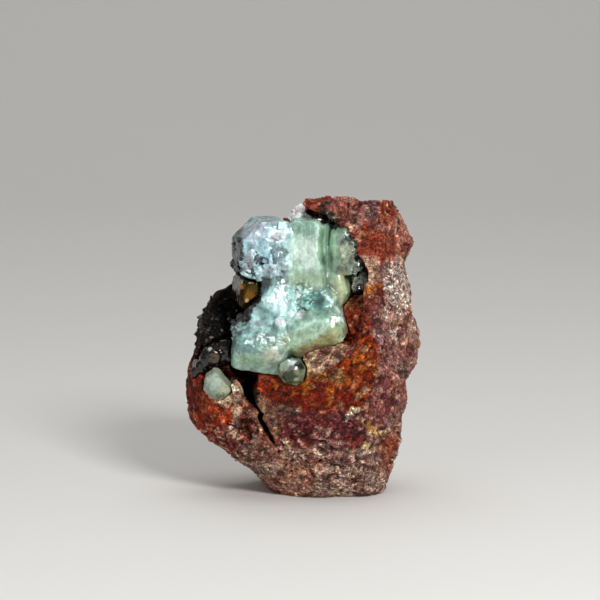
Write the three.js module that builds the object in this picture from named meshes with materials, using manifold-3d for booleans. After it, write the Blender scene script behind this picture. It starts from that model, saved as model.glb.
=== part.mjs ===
// Adamite on matrix: a broken piece of red-brown gossan rock with an open vug, and the pale
// green adamite crystals that grew in the vug.
// Units are millimetres. +Z is up, +X is to the right of someone who faces the crystals, and
// the crystals face -Y. The origin is at the middle of the bounding box's bottom.

import * as THREE from 'three';
import { ConvexGeometry } from 'three/addons/geometries/ConvexGeometry.js';
import { ImprovedNoise } from 'three/addons/math/ImprovedNoise.js';
import { mergeVertices } from 'three/addons/utils/BufferGeometryUtils.js';
import Module from 'manifold-3d';

const wasm = await Module();
wasm.setup();

// Driving dimensions of the rock

const HEIGHT = 40; // from the flat base to the broken top
const FRONT_DEPTH = 9.5; // from the outline's plane to the front of the rock
const BACK_DEPTH = 11.5; // from the outline's plane to the back of the rock
const SQUARENESS = 3; // 2 is an ellipsoid, higher is boxier
const ROCK_DETAIL = 14; // subdivisions of the sphere that becomes the rock
const FIT_GAP = 0.3; // free space between a crystal and what it sits in

// The rock seen from the front, as x and z. It runs a little past the top and the base, where breaks
// then end it.
const OUTLINE_CENTRE = [0.5, 19.5];
const OUTLINE = [
  [2.1, 42], [11.9, 42], [12.1, 38.0], [13.3, 36.8], [14.0, 35.2], [14.6, 33.4], [14.6, 32.3],
  [13.6, 31.3], [13.8, 29.2], [14.4, 26.5], [15.6, 18.8], [15.4, 16.8], [14.0, 15.0],
  [13.7, 12.6], [12.8, 10.9], [13.1, 7.8], [11.9, 2.7], [10.6, 0], [8.4, -3],
  [-4.0, -3], [-5.4, 0.8], [-6.6, 2.4], [-8.6, 3.6], [-11.1, 5.9], [-14.3, 9.3],
  [-15.6, 13.2], [-15.6, 14.8], [-14.9, 15.9], [-13.8, 18.5], [-13.5, 22.5], [-12.4, 25.3],
  [-10.0, 27.4], [-8.6, 30], [-7.6, 33.4], [-5.0, 35.8], [-2.0, 36.4], [1.2, 38.4],
];
const LEDGE_TILT = 0.25; // how far the ledges of the outline turn on their way from front to back
const OUTLINE_BLUR = [-0.3, -0.15, 0, 0.15, 0.3]; // turns over which the outline is evened out

// Lumps on the rock, each at x and z on the front or the back, with its height and radius
const FRONT_LUMPS = [
  { x: 10.5, z: 24, height: 1.6, radius: 5 },
  { x: 9.5, z: 36, height: 1.2, radius: 4 },
  { x: 3.5, z: 9, height: 1.8, radius: 7 },
  { x: -10.5, z: 11, height: 1.0, radius: 4 },
];
const BACK_LUMPS = [
  { x: 5, z: 14, height: 2.5, radius: 8 },
  { x: -4, z: 27, height: 1.5, radius: 6 },
];

// Roughness of the rock: height and wavelength of each layer of noise
const ROCK_NOISE = [
  { height: 1.0, wavelength: 9 },
  { height: 0.55, wavelength: 4 },
];

// Breaks: a point on each broken face, the face's outward normal, and how rough it is
const BREAKS = [
  { at: [0, 0, 0], normal: [0, 0, -1], rough: 0 }, // base
  { at: [6, -8, HEIGHT], normal: [0.02, 0.12, 1], rough: 0.5 }, // top
  { at: [2, 11.4, 20], normal: [-0.25, 1, 0.18], rough: 1.6 }, // back
  { at: [11.4, 6.8, 22], normal: [1, 0.75, 0.1], rough: 1.3 }, // right of the back
  { at: [-9.4, 8.4, 15], normal: [-0.8, 1, -0.35], rough: 1.3 }, // left of the back
  { at: [12.6, -5.5, 25], normal: [0.8, -0.6, 0.06], rough: 0.7 }, // right side of the arm
  { at: [10.6, -6.4, 6], normal: [0.72, -0.66, -0.22], rough: 0.7 }, // right side of the foot
  { at: [6.5, -9.4, 37.2], normal: [0.05, -0.85, 0.5], rough: 0.5 }, // front of the arm's top
  { at: [-8.6, -7.0, 6.6], normal: [-0.5, -0.6, -0.62], rough: 0.7 }, // underside of the lobe
];
const BREAK_WAVELENGTH = 6; // of the roughness
const BREAK_SIZE = 72; // of the block that a break takes away
const BREAK_STEPS = 20; // subdivisions of a rough face

// The vug: an uneven hollow that opens to the front, the left and the top
const VUG = { at: [-2.7, -6, 27.7], radii: [12, 9.5, 11.6], noise: 0.7, wavelength: 3.5, detail: 8 };

// The vug's mouth: a wide, shallow bowl that slopes the rock's front in towards the vug
const MOUTH = { at: [-3, -14, 28], radii: [15, 8, 16.4], noise: 0.5, wavelength: 4, detail: 6 };

// The pits in the left lobe: the one that holds the small green crystal, and a dent beside the crack
const PITS = [
  { at: [-11.1, -6.8, 16.8], radii: [2.6, 4.6, 3.6], noise: 0.3, wavelength: 2, detail: 3 },
  { at: [-7.2, -9.3, 9.4], radii: [1.5, 1.8, 2], noise: 0.6, wavelength: 1.3, detail: 3 },
];

// Crusts that fill the vug up to the crystals: the block on their right and the shelf under them
const CRUSTS = [
  { at: [7.9, -4.6, 23.4], radii: [2.8, 3.8, 3.4], noise: 0.5, wavelength: 2, detail: 3 },
  { at: [3.6, -7.0, 17.8], radii: [4.8, 3.4, 3.2], noise: 0.5, wavelength: 2, detail: 3 },
];

// The crack that parts the left lobe from the foot, as x and z, and how deep it goes
const CRACK = [
  [-10.4, 17.6], [-5.2, 17.2], [-6.2, 14.4], [-5.6, 13.0], [-4.9, 12.2], [-5.1, 11.0],
  [-4.2, 9.8], [-3.6, 8.3], [-2.0, 5.8], [-3.8, 7.6], [-4.9, 9.2], [-5.9, 10.7],
  [-5.9, 11.7], [-6.9, 12.6], [-7.7, 13.6], [-8.1, 15.2],
];
const CRACK_DEPTH = 13;

// Crystals. Each is a block with its corners cut, as seen from the front: where its middle is, its
// width, depth and height, the cuts at its corners from the top left round to the bottom left, how
// far its front edges are bevelled, and its turns in degrees about X, then Y, then Z.
const CLUSTER = [
  // upper left: the large white crystal and the greyer one under it
  { at: [-5, -1.8, 33], size: [7.4, 12, 7.6], cuts: [2.8, 1.3, 0.5, 1.2], bevel: 0.6, turn: [0, 0, 8] },
  { at: [-3.4, -1.9, 28.2], size: [4.6, 11, 5.6], cuts: [0.4, 0.4, 0.6, 1.2], bevel: 0.6, turn: [0, 0, 4] },
  // upper middle: the green prism with an upright edge
  { at: [2.4, -3.9, 32.3], size: [4.6, 8.6, 9.6], cuts: [0.6, 1, 0.6, 0.4], bevel: 0.3, turn: [2, -2, -28] },
  // upper right: the greyer crystal against the rock
  { at: [6.3, -4.2, 33.1], size: [4, 8, 6.6], cuts: [0.9, 2, 0.8, 0.6], bevel: 0.6, turn: [0, 4, -12] },
  // right: the pale wedge between the upper and the lower crystals
  { at: [5.2, -3.2, 28], size: [3.4, 9, 5], cuts: [1, 0.6, 1.4, 0.8], bevel: 0.5, turn: [0, -18, -14] },
  // lower left: a long crystal with one face turned up, and the block in front of its foot
  { at: [-4.4, -3.9, 23.5], size: [7, 7.6, 12], cuts: [6.8, 0.3, 0.8, 0.9], bevel: 0.6, turn: [-40, 5, 4] },
  { at: [-5.4, -6.3, 20.8], size: [7.2, 4.8, 8], cuts: [0.8, 0.3, 0.6, 0.7], bevel: 0.7, turn: [-62, 9, 4] },
  // lower right: its neighbour, which rises to the right
  { at: [1, -5.2, 25.2], size: [8.2, 4.4, 12.2], cuts: [1, 1.8, 1.3, 0.8], bevel: 1.1, turn: [-45, -22, -8] },
  // lower middle: the peak between them and the teal crystal beside it
  { at: [-3.2, -5.6, 25.9], size: [5, 5.6, 5], cuts: [0.4, 0.5, 0.5, 0.5], bevel: 0.5, turn: [-22, 42, 6] },
  { at: [2.5, -6.5, 25.6], size: [4, 5, 3.8], cuts: [1.2, 1.2, 0.9, 0.9], bevel: 0.3, turn: [-34, 12, -4] },
  // top: the white knob and a crumb on it
  { at: [-0.1, -3.2, 36.8], size: [2.4, 3, 1.8], cuts: [0.5, 0.5, 0.5, 0.5], bevel: 0.5, turn: [8, 10, 20] },
  { at: [-0.1, -2.6, 37.8], size: [1.2, 2.4, 1.4], cuts: [0.3, 0.4, 0.3, 0.3], bevel: 0.3, turn: [0, -8, 0] },
];

// Small crystals that stud the cluster, in patches: each patch has its middle, the direction up its
// face, how far it spreads across and up, and the number and size of its crystals
const PATCHES = [
  { at: [-4.7, -7.2, 31.2], up: [0, 0.1, 1], spread: [2.9, 1.3], count: 9, size: 2.3 },
  { at: [-0.2, -8.1, 25.0], up: [0, 0.66, 0.75], spread: [4.4, 2.6], count: 12, size: 1.8 },
  { at: [-7.7, -7.4, 22.6], up: [0, 0.5, 0.8], spread: [1.1, 1], count: 6, size: 1.6 },
];

// Crystals that stand beside the cluster
const SINGLES = {
  clear: [
    { at: [-1.2, -8.7, 17.4], size: [3.5, 4, 3.3], cuts: [0.8, 0.9, 0.8, 1], bevel: 0.7, turn: [10, 12, 0] },
  ],
  clearRight: [
    { at: [7.6, -4.6, 28.6], size: [2.2, 4, 3], cuts: [0.5, 0.8, 0.9, 0.6], bevel: 0.4, turn: [0, 14, 10] },
  ],
  brown: [
    { at: [-7.3, -3, 27.2], size: [2.9, 8, 4.4], cuts: [0.7, 0.5, 0.8, 0.7], bevel: 0.5, turn: [0, 6, 10] },
  ],
  smoky: [
    { at: [-11.9, -3.8, 18.8], size: [3.1, 5, 3.5], cuts: [1, 0.8, 0.9, 0.8], bevel: 0.8, turn: [4, 20, 6] },
    { at: [-10, -3.4, 19.2], size: [2.4, 5, 3.4], cuts: [0.7, 0.6, 0.6, 0.6], bevel: 0.5, turn: [0, -9, -6] },
    { at: [-13.4, -3.2, 17.2], size: [2, 4, 1.8], cuts: [0.5, 0.4, 0.4, 0.5], bevel: 0.4, turn: [0, 15, 10] },
    { at: [-14, -2.6, 16.4], size: [1.5, 3, 1.5], cuts: [0.4, 0.4, 0.4, 0.4], bevel: 0.4, turn: [0, 40, 0] },
  ],
  green: [
    { at: [-11, -8.2, 15.3], size: [3.6, 3.4, 3.6], cuts: [0.9, 2, 1.2, 1.1], bevel: 0.8, turn: [10, 8, 0] },
  ],
};

const noise = new ImprovedNoise();

// A closed geometry as a solid that can be joined and cut
function solidFrom(geometry) {
  const bare = geometry.index ? geometry.toNonIndexed() : geometry.clone();
  bare.deleteAttribute('normal');
  bare.deleteAttribute('uv');
  const merged = mergeVertices(bare, 1e-4);
  return new wasm.Manifold(new wasm.Mesh({
    numProp: 3,
    vertProperties: merged.attributes.position.array,
    triVerts: new Uint32Array(merged.index.array),
  }));
}

// A solid as a geometry with flat faces
function geometryFrom(solid) {
  const mesh = solid.getMesh();
  const geometry = new THREE.BufferGeometry();
  geometry.setAttribute('position', new THREE.BufferAttribute(mesh.vertProperties, 3));
  geometry.setIndex(new THREE.BufferAttribute(mesh.triVerts, 1));
  const flat = geometry.toNonIndexed();
  flat.computeVertexNormals();
  return flat;
}

// Moves every vertex of a geometry to where place() puts it
function reshape(geometry, place) {
  const position = geometry.attributes.position;
  const vertex = new THREE.Vector3();
  for (let i = 0; i < position.count; i++) {
    place(vertex.fromBufferAttribute(position, i));
    position.setXYZ(i, vertex.x, vertex.y, vertex.z);
  }
  return geometry;
}

// How far the outline lies from its centre in a direction of the front view
function outlineReach(cos, sin) {
  for (let i = 0; i < OUTLINE.length; i++) {
    const [ax, az] = OUTLINE[i].map((value, k) => value - OUTLINE_CENTRE[k]);
    const [bx, bz] = OUTLINE[(i + 1) % OUTLINE.length].map((value, k) => value - OUTLINE_CENTRE[k]);
    const turn = cos * (bz - az) - sin * (bx - ax);
    const along = (az * cos - ax * sin) / (sin * (bx - ax) - cos * (bz - az));
    const reach = (ax * (bz - az) - az * (bx - ax)) / turn;
    if (reach > 0 && along >= 0 && along <= 1) return reach;
  }
  throw new Error('the outline is not closed');
}

// The same for an outline that is evened out, as the rock is away from its rim
function evenedReach(angle) {
  const reaches = OUTLINE_BLUR.map((turn) => outlineReach(Math.cos(angle + turn), Math.sin(angle + turn)));
  return reaches.reduce((sum, reach) => sum + reach) / reaches.length;
}

// The height of all lumps at a place in the front view
function lumpHeight(lumps, x, z) {
  return lumps.reduce((sum, lump) => {
    const far = Math.hypot(x - lump.x, z - lump.z) / lump.radius;
    return sum + lump.height * Math.exp(-far * far);
  }, 0);
}

// The rock before it is broken: the outline filled out to the front and the back like a cushion
function rockBody() {
  const shape = new THREE.IcosahedronGeometry(1, ROCK_DETAIL);
  return reshape(shape, (vertex) => {
    const ring = Math.hypot(vertex.x, vertex.z);
    const angle = Math.atan2(vertex.z, vertex.x);
    const boxed = (ring ** SQUARENESS + Math.abs(vertex.y) ** SQUARENESS) ** (1 / SQUARENESS);
    const tilted = angle + LEDGE_TILT * vertex.y * Math.abs(vertex.y);
    const rim = outlineReach(Math.cos(tilted), Math.sin(tilted));
    const away = THREE.MathUtils.smoothstep(Math.abs(vertex.y), 0.4, 0.9);
    const reach = THREE.MathUtils.lerp(rim, evenedReach(angle), away) * ring / boxed;
    const x = OUTLINE_CENTRE[0] + reach * Math.cos(angle);
    const z = OUTLINE_CENTRE[1] + reach * Math.sin(angle);
    const front = vertex.y < 0;
    const depth = front
      ? FRONT_DEPTH + lumpHeight(FRONT_LUMPS, x, z)
      : BACK_DEPTH + lumpHeight(BACK_LUMPS, x, z);
    const outward = vertex.clone();
    vertex.set(x, depth * vertex.y / boxed, z);
    for (const { height, wavelength } of ROCK_NOISE) {
      const bump = noise.noise(vertex.x / wavelength, vertex.y / wavelength, vertex.z / wavelength);
      vertex.addScaledVector(outward, height * bump);
    }
  });
}

// A rounded body with an uneven surface
function unevenBall({ at, radii, noise: height, wavelength, detail }) {
  return reshape(new THREE.IcosahedronGeometry(1, detail), (vertex) => {
    const outward = vertex.clone();
    vertex.multiply(new THREE.Vector3(...radii)).add(new THREE.Vector3(...at));
    const bump = noise.noise(vertex.x / wavelength, vertex.y / wavelength, vertex.z / wavelength);
    vertex.addScaledVector(outward, height * bump);
  });
}

// The material beyond a break
function beyondBreak({ at, normal, rough }) {
  const direction = new THREE.Vector3(...normal).normalize();
  const turn = new THREE.Quaternion().setFromUnitVectors(new THREE.Vector3(0, 0, 1), direction);
  const steps = rough > 0 ? BREAK_STEPS : 1;
  const block = new THREE.BoxGeometry(BREAK_SIZE, BREAK_SIZE, BREAK_SIZE, steps, steps, 1);
  block.translate(0, 0, BREAK_SIZE / 2);
  reshape(block, (vertex) => {
    if (vertex.z > 0) return;
    vertex.z = rough * noise.noise(vertex.x / BREAK_WAVELENGTH, vertex.y / BREAK_WAVELENGTH, at[0]);
  });
  return block.applyQuaternion(turn).translate(...at);
}

// The crack, as a solid that reaches in from the front
function crackWedge() {
  const shape = new THREE.Shape(CRACK.map(([x, z]) => new THREE.Vector2(x, z)));
  const depth = FRONT_DEPTH + CRACK_DEPTH;
  return new THREE.ExtrudeGeometry(shape, { depth, bevelEnabled: false })
    .rotateX(Math.PI / 2)
    .translate(0, CRACK_DEPTH - FRONT_DEPTH, 0);
}

// A crystal with flat faces. grow enlarges it on every side, for the socket that it sits in.
function crystal({ at, size, cuts, bevel, turn }, grow = 0) {
  const [width, depth, height] = size.map((value) => value + 2 * grow);
  const corners = [[-1, 1], [1, 1], [1, -1], [-1, -1]].flatMap(([side, end], i) => {
    const across = [side * (width / 2 - cuts[i]), end * height / 2];
    const along = [side * width / 2, end * (height / 2 - cuts[i])];
    return side * end < 0 ? [along, across] : [across, along];
  });
  const inset = 1 - 2 * bevel / Math.min(width, height);
  const points = corners.flatMap(([x, z]) => [
    new THREE.Vector3(x * inset, -depth / 2, z * inset),
    new THREE.Vector3(x, bevel - depth / 2, z),
    new THREE.Vector3(x, depth / 2, z),
  ]);
  const turns = new THREE.Euler(...turn.map(THREE.MathUtils.degToRad), 'ZYX');
  const geometry = new ConvexGeometry(points);
  geometry.applyQuaternion(new THREE.Quaternion().setFromEuler(turns));
  return geometry.translate(...at);
}

// Several crystals grown into one
function grownTogether(crystals, grow = 0) {
  return crystals
    .map((one) => solidFrom(crystal(one, grow)))
    .reduce((all, one) => all.add(one));
}

// The largest body of a solid, without loose crumbs and closed holes
function largestBody(solid) {
  return solid.decompose().reduce((largest, body) => (body.volume() > largest.volume() ? body : largest));
}

// The small crystals of a patch, scattered and turned the same way each time
function patchCrystals({ at, up, spread, count, size }, seed) {
  let draw = 100 * seed;
  const random = () => 2 * THREE.MathUtils.seededRandom(++draw) - 1;
  return Array.from({ length: count }, () => {
    const across = random() * spread[0];
    const rise = random() * spread[1];
    const edge = size * (0.8 + 0.3 * random());
    return {
      at: [at[0] + across, at[1] + rise * up[1], at[2] + rise * up[2]],
      size: [edge, edge, edge * (1.1 + 0.3 * random())],
      cuts: [0.2, 0.3, 0.25, 0.2].map((share) => share * edge),
      bevel: 0.15 * edge,
      turn: [25 * random(), 40 * random(), 40 * random()],
    };
  });
}

const clusterCrystals = [...CLUSTER, ...PATCHES.flatMap(patchCrystals)];
const cluster = largestBody(grownTogether(clusterCrystals));
const clusterSocket = grownTogether(clusterCrystals, FIT_GAP);

// A crystal that stands beside the cluster, cut back where it meets the cluster
const besideCluster = (crystals) => largestBody(grownTogether(crystals).subtract(clusterSocket));

const breaks = BREAKS.map(beyondBreak);
const hollows = [VUG, MOUTH, ...PITS].map(unevenBall);
const crusts = CRUSTS.map(unevenBall).map(solidFrom);
const sockets = Object.values(SINGLES).map((crystals) => grownTogether(crystals, FIT_GAP));
const hollowRock = [...breaks, ...hollows, crackWedge()]
  .map(solidFrom)
  .reduce((solid, cutter) => solid.subtract(cutter), solidFrom(rockBody()));
const crustedRock = crusts.reduce((solid, crust) => solid.add(crust), hollowRock);
const rock = largestBody([clusterSocket, ...sockets]
  .reduce((solid, cutter) => solid.subtract(cutter), crustedRock));

// A node of the specimen
function piece(name, solid, material) {
  const mesh = new THREE.Mesh(geometryFrom(solid), material);
  mesh.name = name;
  return mesh;
}

const gossan = new THREE.MeshStandardMaterial({ color: 0x7d3a30, roughness: 0.85, metalness: 0 });
const adamite = new THREE.MeshStandardMaterial({ color: 0xb9d2c4, roughness: 0.25, metalness: 0 });
const clearAdamite = new THREE.MeshStandardMaterial({ color: 0x9aa39c, roughness: 0.1, metalness: 0 });
const brownAdamite = new THREE.MeshStandardMaterial({ color: 0x6b4514, roughness: 0.15, metalness: 0 });
const smokyAdamite = new THREE.MeshStandardMaterial({ color: 0x3a3a35, roughness: 0.1, metalness: 0 });

const stone = new THREE.Group();
stone.add(
  piece('matrix', rock, gossan),
  piece('adamite_cluster', cluster, adamite),
  piece('clear_crystal', besideCluster(SINGLES.clear), clearAdamite),
  piece('right_clear_crystal', besideCluster(SINGLES.clearRight), clearAdamite),
  piece('brown_crystal', besideCluster(SINGLES.brown), brownAdamite),
  piece('smoky_crystals', besideCluster(SINGLES.smoky), smokyAdamite),
  piece('small_green_crystal', besideCluster(SINGLES.green), adamite),
);

// The origin goes to the middle of the bounding box's bottom
const box = new THREE.Box3().setFromObject(stone);
const middle = box.getCenter(new THREE.Vector3());
stone.position.set(-middle.x, -middle.y, -box.min.z);

const specimen = new THREE.Group();
specimen.name = 'adamite_on_matrix';
specimen.add(stone);

export default specimen;
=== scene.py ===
import math
from itertools import product

import bpy
import numpy as np
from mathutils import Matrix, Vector
from mathutils.bvhtree import BVHTree


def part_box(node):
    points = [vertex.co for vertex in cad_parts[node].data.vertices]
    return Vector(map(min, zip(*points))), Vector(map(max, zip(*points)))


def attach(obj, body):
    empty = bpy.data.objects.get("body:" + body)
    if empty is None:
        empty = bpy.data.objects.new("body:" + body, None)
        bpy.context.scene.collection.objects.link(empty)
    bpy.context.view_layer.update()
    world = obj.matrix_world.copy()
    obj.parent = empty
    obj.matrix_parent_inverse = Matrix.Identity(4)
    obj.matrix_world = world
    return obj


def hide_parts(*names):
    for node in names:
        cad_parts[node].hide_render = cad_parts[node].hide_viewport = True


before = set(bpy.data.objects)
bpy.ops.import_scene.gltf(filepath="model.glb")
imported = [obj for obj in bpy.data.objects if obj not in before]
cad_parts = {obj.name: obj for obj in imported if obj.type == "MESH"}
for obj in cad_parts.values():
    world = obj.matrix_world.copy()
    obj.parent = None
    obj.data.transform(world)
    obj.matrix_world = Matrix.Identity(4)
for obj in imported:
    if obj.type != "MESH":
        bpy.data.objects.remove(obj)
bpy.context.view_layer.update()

MM = 0.001

# Camera: it faces the crystals from a little above
FRAME_PX = 600
AIM = Vector((-0.2, -5.0, 26.1)) * MM
ELEVATION = math.radians(6)
DISTANCE = 300 * MM
SENSOR = 36.0
LENS = 135.0
CLIP_START = 10 * MM

# Lights: the place and the size in mm, and the power in watts
LIGHTS = {
    "key": ((160, -340, 230), 110, 1.5),
    "fill": ((-260, -330, 140), 260, 0.2),
    "ceiling": ((0, 300, 1500), 1500, 11.0),
}
SKY = (0.9, 0.92, 0.95, 1)
SKY_STRENGTH = 0.18

# The floor, which curves up behind the object into a backdrop, in metres
FLOOR_REACH = 3.0
SWEEP_START = 0.6
SWEEP_RADIUS = 0.8
SWEEP_STEPS = 25
FLOOR_COLOUR = (226, 224, 220)

# The vug's middle and its reach to each side, in mm
VUG_AT = np.array((-3.3, -6.0, 27.5))
VUG_LEFT = np.array((11.5, 9.5, 11.4))
VUG_RIGHT = np.array((8.6, 9.5, 11.4))

# The rock's bedding, which drops to the right
BED_TILT = math.radians(18)
BED_COS = math.cos(BED_TILT)
BED_SIN = math.sin(BED_TILT)

# The cells of the fine meshes, in mm
ROCK_VOXEL = 0.25
CRYSTAL_VOXEL = 0.15

# Small prisms scattered on a surface: how many, their smallest and largest size in mm, and the seed
CRYSTAL_GRAINS = (220, (0.25, 0.75), 5)
BLACK_DRUSE = (70, (0.25, 0.75), 11)
ROCK_GRAINS = (130, (0.08, 0.24), 7)
DARK_DRUSE = (380, (0.2, 0.6), 9)

# Adamite's refractive index, and the colour and density of dark glass
ADAMITE_IOR = 1.73
SMOKE = (120, 118, 104)
SMOKE_DENSITY = 420


# Noise in mm, the same on every run

# Odd numbers that turn a cell's place and a seed into draws that look random
CELL_MIX = np.array((73856093, 19349663, 83492791), np.uint64)
SEED_MIX = 2654435761
SEED_ADD = 97
DRAW_MIX = np.uint64(6364136223846793005)
DRAW_ADD = np.uint64(1442695040888963407)

# Keeps the numbers of cells above 0
CELL_ORIGIN = 1000.37

# How far a cell's own point may be from its middle
JITTER = 0.45


def lattice(cell, seed):
    """Three numbers from -1 to 1 for each whole-number cell."""
    with np.errstate(over="ignore"):
        h = np.bitwise_xor.reduce(cell.astype(np.uint64) * CELL_MIX, axis=1)
        h ^= np.uint64(seed * SEED_MIX + SEED_ADD)
        draws = []
        for _ in range(3):
            h = h * DRAW_MIX + DRAW_ADD
            draws.append((h >> np.uint64(40)).astype(float) / 2 ** 23 - 1)
    return np.stack(draws, axis=1)


def noise(points, size, seed):
    """Smooth noise from about -1 to 1."""
    p = points / size + CELL_ORIGIN
    cell = np.floor(p).astype(np.int64)
    f = p - cell
    w = f * f * f * (f * (f * 6 - 15) + 10)
    total = np.zeros(len(p))
    for corner in product((0, 1), repeat=3):
        c = np.array(corner)
        weight = np.prod(np.where(c, w, 1 - w), axis=1)
        total += weight * (lattice(cell + c, seed) * (f - c)).sum(axis=1)
    return total * 1.5


def layers(points, size, seed, octaves, gain=0.5):
    """Noise summed over octaves of half the size."""
    return sum(gain ** k * noise(points, size / 2 ** k, seed + k) for k in range(octaves))


def cells_near(points, size, seed):
    """For each of the 27 cells round a point: the cell, its draws and the offset from its own point."""
    p = points / size + CELL_ORIGIN
    cell = np.floor(p).astype(np.int64)
    for step in product((-1, 0, 1), repeat=3):
        there = cell + np.array(step)
        draw = lattice(there, seed)
        yield there, draw, p - (there + 0.5 + JITTER * draw)


def facets(points, size, seed):
    """A different slanted plane in each cell, like the faces of packed small crystals."""
    nearest = np.full(len(points), np.inf)
    height = np.zeros(len(points))
    for there, _, offset in cells_near(points, size, seed):
        far = (offset ** 2).sum(axis=1)
        slope = lattice(there, seed + 5)
        closer = far < nearest
        nearest = np.where(closer, far, nearest)
        height = np.where(closer, (slope * offset).sum(axis=1) + 0.35 * slope[:, 0], height)
    return height


def mosaic(points, size, seed):
    """Uneven cells: a number from 0 to 1 for each, and how near a point is to its cell's border."""
    nearest = np.full(len(points), np.inf)
    second = np.full(len(points), np.inf)
    value = np.zeros(len(points))
    for _, draw, offset in cells_near(points, size, seed):
        far = np.linalg.norm(offset, axis=1)
        value = np.where(far < nearest, (draw[:, 0] * 7.3) % 1, value)
        second = np.minimum(second, np.maximum(far, nearest))
        nearest = np.minimum(far, nearest)
    return value, second - nearest


def warp(points, size, amount, seed, octaves=4):
    """Shifts points by noise, to make borders between colours uneven."""
    shifts = [layers(points, size, seed + s, octaves, 0.65) for s in range(3)]
    return points + amount * np.column_stack(shifts)


def smooth(low, high, value):
    """0 up to low and 1 from high on, with a soft step between; low may be the larger."""
    t = np.clip((value - low) / (high - low), 0, 1)
    return t * t * (3 - 2 * t)


def linear(rgb):
    """An sRGB colour, from 0 to 255, as linear values."""
    c = np.asarray(rgb, float) / 255
    return np.where(c <= 0.04045, c / 12.92, ((c + 0.055) / 1.055) ** 2.4)


def pixels(points):
    """Where points in mm are in the camera's picture, in pixels from its top left."""
    forward = np.array((0, math.cos(ELEVATION), -math.sin(ELEVATION)))
    up = np.array((0, math.sin(ELEVATION), math.cos(ELEVATION)))
    offset = points - np.array(AIM) / MM
    scale = FRAME_PX * LENS / SENSOR / (offset @ forward + DISTANCE / MM)
    return FRAME_PX / 2 + scale * offset[:, 0], FRAME_PX / 2 - scale * (offset @ up)


# Meshes

def voxel_copy(node, name, voxel):
    """A fine, even mesh of a CAD node, as a new object."""
    piece = bpy.data.objects.new(name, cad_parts[node].data.copy())
    bpy.context.scene.collection.objects.link(piece)
    remesh = piece.modifiers.new("remesh", "REMESH")
    remesh.mode = "VOXEL"
    remesh.voxel_size = voxel * MM
    graph = bpy.context.evaluated_depsgraph_get()
    mesh = bpy.data.meshes.new_from_object(piece.evaluated_get(graph))
    piece.modifiers.clear()
    piece.data = mesh
    mesh.name = name
    mesh.materials.clear()
    return piece


def points_of(mesh):
    """Where each vertex is, in mm, and its normal."""
    co = np.empty(len(mesh.vertices) * 3)
    mesh.vertices.foreach_get("co", co)
    normal = np.empty(len(mesh.vertices) * 3)
    mesh.vertices.foreach_get("normal", normal)
    return co.reshape(-1, 3) / MM, normal.reshape(-1, 3)


def move_points(mesh, points):
    mesh.vertices.foreach_set("co", (points * MM).ravel())
    mesh.update()


def store(mesh, name, values):
    """A number or a colour on each vertex."""
    if values.ndim == 1:
        mesh.attributes.new(name, "FLOAT", "POINT").data.foreach_set("value", values)
    else:
        rgba = np.column_stack((values, np.ones(len(values))))
        mesh.attributes.new(name, "FLOAT_COLOR", "POINT").data.foreach_set("color", rgba.ravel())


def soften(mesh, points, amount, rounds):
    """Rounds edges off: in each round every point moves towards the middle of its neighbours."""
    ends = np.empty(len(mesh.edges) * 2, np.int64)
    mesh.edges.foreach_get("vertices", ends)
    a, b = ends.reshape(-1, 2).T
    total = len(points)
    count = np.maximum(np.bincount(a, minlength=total) + np.bincount(b, minlength=total), 1)
    for _ in range(rounds):
        around = np.column_stack([
            np.bincount(a, points[b, k], total) + np.bincount(b, points[a, k], total) for k in range(3)
        ])
        points = points + amount[:, None] * (around / count[:, None] - points)
    return points


def hollows(mesh, points, normals, rounds):
    """How far each point stands out from the surface around it: below 0 in a hollow."""
    even = soften(mesh, points, np.full(len(points), 0.6), rounds)
    return ((points - even) * normals).sum(axis=1)


CRYSTAL_NODES = [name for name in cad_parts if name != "matrix"]

# Farther than this, in mm, a crystal makes no difference to the rock
NEAR = 2.0


def clearance(points):
    """How far each point is from the nearest crystal, in mm."""
    distance = np.full(len(points), np.inf)
    for name in CRYSTAL_NODES:
        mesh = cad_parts[name].data
        tree = BVHTree.FromPolygons([v.co for v in mesh.vertices], [p.vertices for p in mesh.polygons])
        low, high = (np.array(corner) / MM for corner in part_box(name))
        for i in np.flatnonzero(np.all((points > low - NEAR) & (points < high + NEAR), axis=1)):
            found = tree.find_nearest(Vector(points[i] * MM), NEAR * MM)
            if found[3] is not None:
                distance[i] = min(distance[i], found[3] / MM)
    return distance


def finish_piece(piece, material, slot, node=None):
    """Gives a piece its material and ties it to the frame, in place of a CAD node if one is named."""
    piece.data.materials.append(material)
    if node:
        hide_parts(node)
    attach(piece, "root")


def shade_smooth(mesh):
    mesh.polygons.foreach_set("use_smooth", np.ones(len(mesh.polygons), bool))


def store_adamite(mesh, tint, frost, milk):
    """What the material adamite reads: the colour, how frosted the surface is and how milky the inside."""
    store(mesh, "tint", tint)
    store(mesh, "frost", frost)
    store(mesh, "milk", milk)


# A small prism with a wedge end
BLOCK = np.array(list(product((-0.5, 0.5), repeat=3)))
BLOCK[BLOCK[:, 2] > 0, 0] *= 0.3
BLOCK_FACES = np.array(((0, 1, 3, 2), (4, 6, 7, 5), (0, 4, 5, 1), (2, 3, 7, 6), (0, 2, 6, 4), (1, 5, 7, 3)))
CORNERS = len(BLOCK)

# A prism's sides as shares of its size, and how far its middle is above the surface, as a share of one side
BLOCK_SIDES = (0.6, 1.3)
BLOCK_RISE = 0.1


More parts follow.
